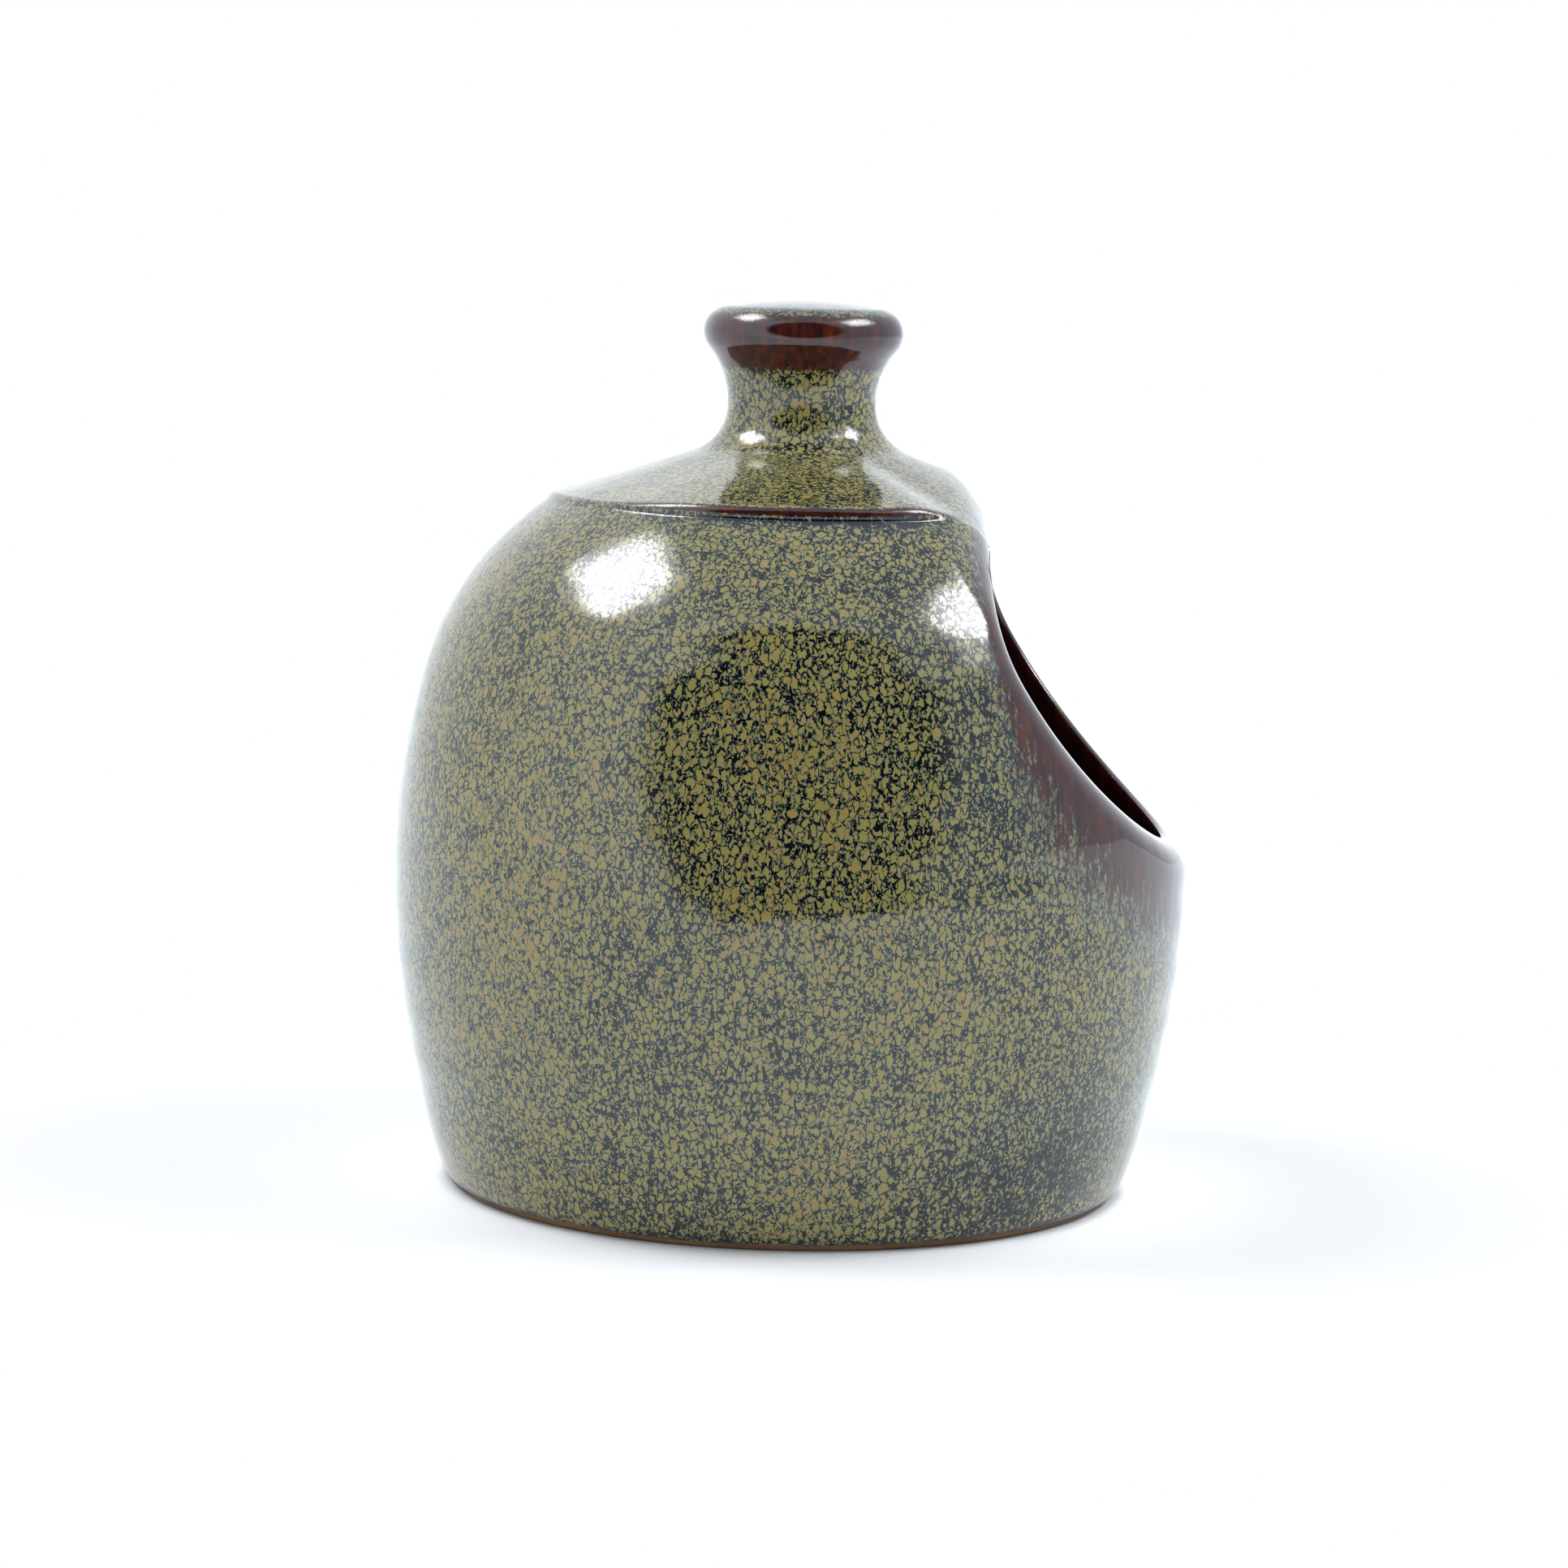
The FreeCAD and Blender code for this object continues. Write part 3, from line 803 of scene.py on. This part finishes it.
def trimming_tree():
    """Turns a side view of edges round the axis and cuts the spiral of a trimming tool in it."""
    tree = bpy.data.node_groups.new("trimmed_on_the_wheel", "GeometryNodeTree")
    for name, kind, direction in (("Geometry", "Geometry", "INPUT"), ("Turns", "Int", "INPUT"),
                                  ("Spiral Pitch", "Float", "INPUT"), ("Spiral Depth", "Float", "INPUT"),
                                  ("Cut Below", "Float", "INPUT"), ("Clay", "Material", "INPUT"),
                                  ("Geometry", "Geometry", "OUTPUT")):
        tree.interface.new_socket(name, in_out=direction, socket_type="NodeSocket" + kind)
    given = add(tree, "NodeGroupInput").outputs
    side = add(tree, "GeometryNodeMeshToCurve", {"Mesh": given["Geometry"]})
    axis = add(tree, "GeometryNodeCurvePrimitiveCircle", {"Resolution": given["Turns"], "Radius": 1e-6})
    turned = add(tree, "GeometryNodeCurveToMesh", {"Curve": axis, "Profile Curve": side})
    closed = add(tree, "GeometryNodeMergeByDistance", {"Geometry": turned, "Distance": 5e-6})
    place = add(tree, "ShaderNodeSeparateXYZ", {0: add(tree, "GeometryNodeInputPosition")}).outputs
    flat = add(tree, "ShaderNodeCombineXYZ", {0: place[0], 1: place[1]})
    radius = add(tree, "ShaderNodeVectorMath", {0: flat}, operation="LENGTH").outputs["Value"]
    turn = add(tree, "ShaderNodeMath", {0: place[1], 1: place[0]}, operation="ARCTAN2")
    rings = add(tree, "ShaderNodeMath", {0: radius, 1: given["Spiral Pitch"]}, operation="DIVIDE")
    phase = add(tree, "ShaderNodeMath", {0: rings, 1: math.tau, 2: turn}, operation="MULTIPLY_ADD")
    swing = add(tree, "ShaderNodeMath", {0: phase}, operation="SINE")
    wave = add(tree, "ShaderNodeMath", {0: swing, 1: 0.5, 2: 0.5}, operation="MULTIPLY_ADD")
    low = add(tree, "ShaderNodeMath", {0: place[2], 1: given["Cut Below"]}, operation="LESS_THAN")
    rise = add(tree, "ShaderNodeMath", {0: wave, 1: given["Spiral Depth"]}, operation="MULTIPLY")
    groove = add(tree, "ShaderNodeMath", {0: rise, 1: low}, operation="MULTIPLY")
    cut = add(tree, "ShaderNodeCombineXYZ", {2: groove})
    shaped = add(tree, "GeometryNodeSetPosition", {"Geometry": closed, "Offset": cut})
    smooth = add(tree, "GeometryNodeSetShadeSmooth", {"Geometry": shaped})
    real = add(tree, "GeometryNodeRealizeInstances", {"Geometry": smooth})
    fired = add(tree, "GeometryNodeSetMaterial", {"Geometry": real, "Material": given["Clay"]})
    add(tree, "NodeGroupOutput", {0: fired})
    return tree


def trimmed_piece(name, side, tree, sizes, closed):
    """A piece of the foot: its side view (radius, height) in millimetres turned by the tree."""
    ends = len(side) if closed else len(side) - 1
    mesh = bpy.data.meshes.new(name + "_side")
    mesh.from_pydata([(radius * MM, -height * MM, 0.0) for radius, height in reversed(side)],
                     [(i, (i + 1) % len(side)) for i in range(ends)], [])
    maker = bpy.data.objects.new(name + "_side", mesh)
    bpy.context.scene.collection.objects.link(maker)
    modifier = maker.modifiers.new("turning", "NODES")
    modifier.node_group = tree
    for socket in tree.interface.items_tree:
        if socket.name in sizes:
            modifier[socket.identifier] = sizes[socket.name]
    graph = bpy.context.evaluated_depsgraph_get()
    made = bpy.data.meshes.new_from_object(maker.evaluated_get(graph))
    bpy.data.objects.remove(maker)
    piece = bpy.data.objects.new(name, made)
    bpy.context.scene.collection.objects.link(piece)
    return piece


def side_view(corners, step):
    """Points along straight runs between these corners, no further apart than the step."""
    points = []
    for start, end in zip(corners[:-1], corners[1:]):
        count = max(1, math.ceil(math.dist(start, end) / step))
        points += [tuple(a + (b - a) * i / count for a, b in zip(start, end)) for i in range(count)]
    return points + [corners[-1]]


def make_foot(clay):
    """The bare trimmed foot ring and the base inside it, both under the glaze line."""
    tree = trimming_tree()
    sizes = {"Turns": COLUMNS, "Spiral Pitch": SPIRAL_PITCH * MM, "Spiral Depth": SPIRAL_DEPTH * MM,
             "Cut Below": (FOOT_RECESS_DEPTH + 0.5) * MM, "Clay": clay}
    outer, inner, top = FOOT_LINE_RADIUS, FOOT_RECESS_RADIUS, FLOOR_TOP - GLAZE - CLAY_GAP
    ring = [(inner, FOOT_CHAMFER), (inner + FOOT_CHAMFER, 0.0), (outer - FOOT_BEVEL, 0.0),
            (outer - 0.3 * FOOT_BEVEL, 0.35 * FOOT_BEVEL), (outer, GLAZE_LINE), (outer, 2.0),
            (outer, top), (inner, top), (inner, FOOT_CHAMFER)]
    base = [(0.0, FOOT_RECESS_DEPTH), (inner, FOOT_RECESS_DEPTH), (inner, top), (0.0, top)]
    plain = dict(sizes, **{"Spiral Depth": 0.0})
    foot = trimmed_piece("trimmed_foot_ring", side_view(ring, FOOT_STEP)[:-1], tree, plain, True)
    disc = trimmed_piece("trimmed_base", side_view(base, BASE_STEP), tree, sizes, False)
    return foot, disc


# ---------------------------------------------------------------- camera, light and floor

def place_camera():
    """A short telephoto a little above the shoulder, looking slightly down."""
    data = bpy.data.cameras.new("camera")
    data.lens, data.sensor_width = CAMERA_LENS, 36.0
    camera = bpy.data.objects.new("camera", data)
    turn = math.radians(CAMERA_AZIMUTH)
    camera.location = (CAMERA_AWAY * math.sin(turn), -CAMERA_AWAY * math.cos(turn), CAMERA_HEIGHT)
    turns = ((CAMERA_PAN, "Z"), (90.0 - CAMERA_DIP, "X"), (CAMERA_ROLL, "Z"))
    pan, tilt, lean = [Matrix.Rotation(math.radians(angle), 4, axis) for angle, axis in turns]
    camera.rotation_euler = (pan @ tilt @ lean).to_euler()
    bpy.context.scene.collection.objects.link(camera)
    bpy.context.scene.camera = camera


def softbox(name, azimuth, elevation, size, watts, mirrored):
    """A square lamp; one kind lights the jar and the other only shows in its gloss."""
    lamp = bpy.data.lights.new(name, "AREA")
    lamp.shape, lamp.size, lamp.size_y = "RECTANGLE", size[0], size[1]
    lamp.energy = watts
    away, up = math.radians(azimuth), math.radians(elevation)
    aim = Vector((math.sin(away) * math.cos(up), -math.cos(away) * math.cos(up), math.sin(up)))
    holder = bpy.data.objects.new(name, lamp)
    holder.location = aim * LAMP_AWAY + Vector((0.0, 0.0, LAMP_AIM_HEIGHT))
    holder.rotation_euler = aim.to_track_quat("Z", "Y").to_euler()
    holder.visible_glossy, holder.visible_diffuse, holder.visible_camera = mirrored, not mirrored, False
    bpy.context.scene.collection.objects.link(holder)


def light_tent():
    """A white tent, plain to the clay; in the gloss it opens towards the front onto a dark room."""
    world = bpy.data.worlds.new("white_tent")
    world.use_nodes = True
    tree = world.node_tree
    tree.nodes.clear()
    heading = add(tree, "ShaderNodeTexCoord").outputs["Generated"]
    way = add(tree, "ShaderNodeSeparateXYZ", {0: heading}).outputs
    front = add(tree, "ShaderNodeMath", {0: way[1], 1: -1.0}, operation="MULTIPLY")
    azimuth = add(tree, "ShaderNodeMath", {0: way[0], 1: front}, operation="ARCTAN2")
    height = add(tree, "ShaderNodeMath", {0: way[2]}, operation="ARCSINE")
    aside = weigh(tree, 0.0, [(azimuth, ROOM_AZIMUTH, 1.0 / ROOM_HALF_WIDTH)])
    above = weigh(tree, 0.0, [(height, ROOM_ELEVATION, 1.0 / ROOM_HALF_HEIGHT)])
    gap = add(tree, "ShaderNodeVectorMath", {0: add(tree, "ShaderNodeCombineXYZ", {0: aside, 1: above})},
              operation="LENGTH").outputs["Value"]
    dark = add(tree, "ShaderNodeMapRange", {"Value": gap, "From Min": 1.12, "From Max": 0.86},
               interpolation_type="SMOOTHSTEP")
    behind = add(tree, "ShaderNodeMapRange", {"Value": way[1], "From Min": -0.35, "From Max": 0.30},
                 interpolation_type="SMOOTHSTEP")
    right = add(tree, "ShaderNodeMapRange", {"Value": way[0], "From Min": 0.10, "From Max": 0.80},
                interpolation_type="SMOOTHSTEP")
    roof = add(tree, "ShaderNodeMapRange", {"Value": way[2], "From Min": 0.75, "From Max": 0.95},
               interpolation_type="SMOOTHSTEP")
    cloth = paint(tree, TENT_IN_GLOSS, [(behind, BACKDROP_IN_GLOSS), (right, DIM_CLOTH_IN_GLOSS),
                                        (roof, DIM_CLOTH_IN_GLOSS)])
    path = add(tree, "ShaderNodeLightPath").outputs
    glossy = add(tree, "ShaderNodeMath", {0: dark, 1: path["Is Glossy Ray"]}, operation="MULTIPLY")
    white = paint(tree, linear("#FFFFFF"), [(path["Is Diffuse Ray"], [TENT_LEVEL] * 3 + [1.0]),
                                            (path["Is Glossy Ray"], cloth), (glossy, linear("#1E2022"))])
    light = add(tree, "ShaderNodeBackground", {"Color": white, "Strength": 1.0})
    add(tree, "ShaderNodeOutputWorld", {"Surface": light})
    bpy.context.scene.world = world


def make_floor():
    """A pale table top that runs out into white, and ends a hand's breadth before the camera."""
    rows = [(-FLOOR_SIZE, FLOOR_FRONT), (FLOOR_SIZE, FLOOR_FRONT), (FLOOR_SIZE, FLOOR_SIZE),
            (-FLOOR_SIZE, FLOOR_SIZE)]
    mesh = bpy.data.meshes.new("table_top")
    mesh.from_pydata([(x, y, -0.0001) for x, y in rows], [], [(0, 1, 2, 3)])
    floor = bpy.data.objects.new("table_top", mesh)
    bpy.context.scene.collection.objects.link(floor)
    material = bpy.data.materials.new("matt_white_laminate")
    material.use_nodes = True
    tree = material.node_tree
    tree.nodes.clear()
    place = add(tree, "ShaderNodeTexCoord").outputs["Object"]
    away = add(tree, "ShaderNodeVectorMath", {0: place}, operation="LENGTH").outputs["Value"]
    fade = add(tree, "ShaderNodeMapRange", {"Value": away, "From Min": FADE_START, "From Max": FADE_END},
               interpolation_type="SMOOTHSTEP")
    path = add(tree, "ShaderNodeLightPath").outputs
    seen = add(tree, "ShaderNodeMath", {0: fade, 1: path["Is Camera Ray"]}, operation="MULTIPLY")
    matt = add(tree, "ShaderNodeBsdfDiffuse", {"Color": linear(FLOOR_COLOUR)})
    white = add(tree, "ShaderNodeEmission", {"Color": linear("#FFFFFF"), "Strength": 1.0})
    cloth = add(tree, "ShaderNodeEmission", {"Color": TENT_IN_GLOSS, "Strength": 0.85})
    shaded = add(tree, "ShaderNodeMapRange", {"Value": away, "From Min": 0.06, "From Max": 0.10,
                                              "To Max": path["Is Glossy Ray"]})
    top = add(tree, "ShaderNodeMixShader", {0: seen, 1: matt, 2: white})
    top = add(tree, "ShaderNodeMixShader", {0: shaded, 1: top, 2: cloth})
    add(tree, "ShaderNodeOutputMaterial", {"Surface": top})
    mesh.materials.append(material)


# ---------------------------------------------------------------- the jar

def finish_piece(piece, node):
    """Sets one piece in the frame in place of its node."""
    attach(piece, BODY)
    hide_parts(node)


def main():
    """Throws, glazes, lights and sets down the jar."""
    outer_coat, liner_coat = make_glaze()
    speckled = new_material("tea_dust_stoneware_glaze", tea_dust_glaze, 0.075, 0.10, 1.52)
    # the liner's material darkens inward from the rim as painted shade
    lining = new_material("liner_glaze_with_painted_shade", liner_glaze, 0.09, 0.10, 1.52)
    outer_coat.data.materials.append(speckled)
    liner_coat.data.materials.append(lining)
    # the bare clay's brown holds painted shade for the foot in shadow
    clay = new_material("bare_stoneware_painted_shade", clay_with_painted_shade, 0.8, 0.12, 1.5)
    finish_piece(outer_coat, "outer_glaze")
    finish_piece(liner_coat, "liner_glaze")
    for node in ("body_wall", "shoulder", "neck", "knob", "opening_rim"):
        core = clay_core(node)
        core.data.materials.clear()
        core.data.materials.append(clay)
        finish_piece(core, node)
    foot, base = make_foot(clay)
    finish_piece(foot, "foot_ring")
    finish_piece(base, "base_disc")
    place_camera()
    light_tent()
    for name, azimuth, elevation, size in (("left_softbox", -95.0, 53.0, (0.52, 0.40)),
                                           ("right_softbox", 86.0, 47.0, (0.64, 0.34))):
        softbox(name, azimuth, elevation, size, LAMP_WATTS, False)
        softbox(name + "_gloss", azimuth, elevation, size, GLOSS_WATTS, True)
    make_floor()
    bpy.context.scene.view_settings.view_transform = "Standard"


main()
